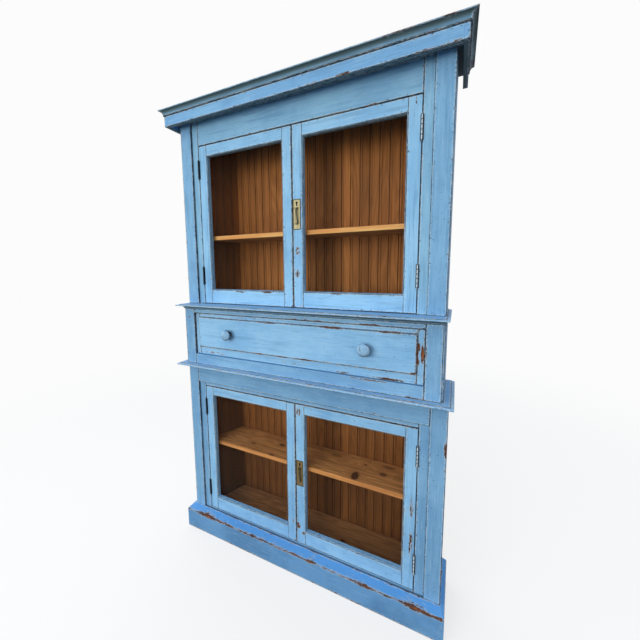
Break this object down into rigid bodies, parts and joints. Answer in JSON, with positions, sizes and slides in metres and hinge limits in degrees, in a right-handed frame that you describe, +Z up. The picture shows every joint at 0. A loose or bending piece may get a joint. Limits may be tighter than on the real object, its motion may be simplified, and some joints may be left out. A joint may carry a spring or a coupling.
{
  "type": "step back cupboard",
  "caption": "Tall painted wooden cupboard: a glazed upper case set back on a drawer section and a glazed base, with moulded waist, ledge, plinth and cornice.",
  "frame": {"origin": "on the floor, under the middle of the cupboard's footprint", "axes": "+Z up, +X to the viewer's right when facing the front, and the doors and the drawer face -Y"},
  "size_m": [1.32, 0.309, 2.15],
  "materials": {
    "blue_paint": "worn chalky blue paint on pine, rubbed through along the edges",
    "pine": "old oiled pine, orange brown, satin",
    "raw_pine": "unpainted pine, dry and pale",
    "glass": "clear window glass",
    "brass": "aged brass with dark recesses",
    "iron": "iron with traces of blue paint"
  },
  "bodies": {
    "case": {"base_side_left": "blue_paint", "base_side_right": "blue_paint", "base_pilaster_left": "blue_paint", "base_pilaster_right": "blue_paint", "base_lining_left": "pine", "base_lining_right": "pine", "base_face_frame": "blue_paint", "base_frieze": "blue_paint", "base_bottom": "pine", "base_shelf": "pine", "lower_back": "pine", "plinth": "blue_paint", "ledge_board": "blue_paint", "waist_board": "blue_paint", "middle_side_left": "blue_paint", "middle_side_right": "blue_paint", "drawer_runner_left": "raw_pine", "drawer_runner_right": "raw_pine", "middle_face_frame": "blue_paint", "upper_side_left": "blue_paint", "upper_side_right": "blue_paint", "upper_pilaster_left": "blue_paint", "upper_pilaster_right": "blue_paint", "upper_lining_left": "pine", "upper_lining_right": "pine", "upper_face_frame": "blue_paint", "upper_shelf": "pine", "upper_back": "pine", "upper_top_board": "blue_paint", "cornice_fascia": "blue_paint", "cornice_crown_left": "blue_paint", "cornice_crown_front": "blue_paint", "cornice_crown_right": "blue_paint", "base_hinge_left_bottom": "iron", "base_hinge_left_top": "iron", "base_hinge_right_bottom": "iron", "base_hinge_right_top": "iron", "upper_hinge_left_bottom": "iron", "upper_hinge_left_top": "iron", "upper_hinge_right_bottom": "iron", "upper_hinge_right_top": "iron"},
    "drawer": {"drawer_front": "blue_paint", "drawer_side_left": "raw_pine", "drawer_side_right": "raw_pine", "drawer_back": "raw_pine", "drawer_bottom": "raw_pine", "drawer_knob_left": "blue_paint", "drawer_knob_right": "blue_paint"},
    "upper_left_door": {"upper_door_left": "blue_paint", "upper_glass_left": "glass"},
    "upper_right_door": {"upper_door_right": "blue_paint", "upper_glass_right": "glass", "upper_lock_plate": "brass"},
    "base_left_door": {"base_door_left": "blue_paint", "base_glass_left": "glass"},
    "base_right_door": {"base_door_right": "blue_paint", "base_glass_right": "glass", "base_lock_plate": "brass"},
    "upper_pull": {"upper_drop_pull": "brass"},
    "base_pull": {"base_drop_pull": "brass"}
  },
  "joints": [
    {"name": "upper_left_door_hinge", "type": "hinge", "parent": "case", "child": "upper_left_door", "pos_m": [-0.50575, -0.069, 1.614], "axis": [0, 0, -1], "range_deg": [0, 165]},
    {"name": "upper_right_door_hinge", "type": "hinge", "parent": "case", "child": "upper_right_door", "pos_m": [0.50575, -0.069, 1.614], "axis": [0, 0, 1], "range_deg": [0, 165]},
    {"name": "base_left_door_hinge", "type": "hinge", "parent": "case", "child": "base_left_door", "pos_m": [-0.52775, -0.073, 0.4555], "axis": [0, 0, -1], "range_deg": [0, 165]},
    {"name": "base_right_door_hinge", "type": "hinge", "parent": "case", "child": "base_right_door", "pos_m": [0.52775, -0.073, 0.4555], "axis": [0, 0, 1], "range_deg": [0, 165]},
    {"name": "drawer_slide", "type": "slide", "parent": "case", "child": "drawer", "axis": [0, -1, 0], "range_m": [0, 0.15]},
    {"name": "upper_pull_hinge", "type": "hinge", "parent": "upper_right_door", "child": "upper_pull", "pos_m": [0.02075, -0.073, 1.656], "axis": [-1, 0, 0], "range_deg": [0, 95]},
    {"name": "base_pull_hinge", "type": "hinge", "parent": "base_right_door", "child": "base_pull", "pos_m": [0.02075, -0.077, 0.492], "axis": [-1, 0, 0], "range_deg": [0, 95]}
  ]
}
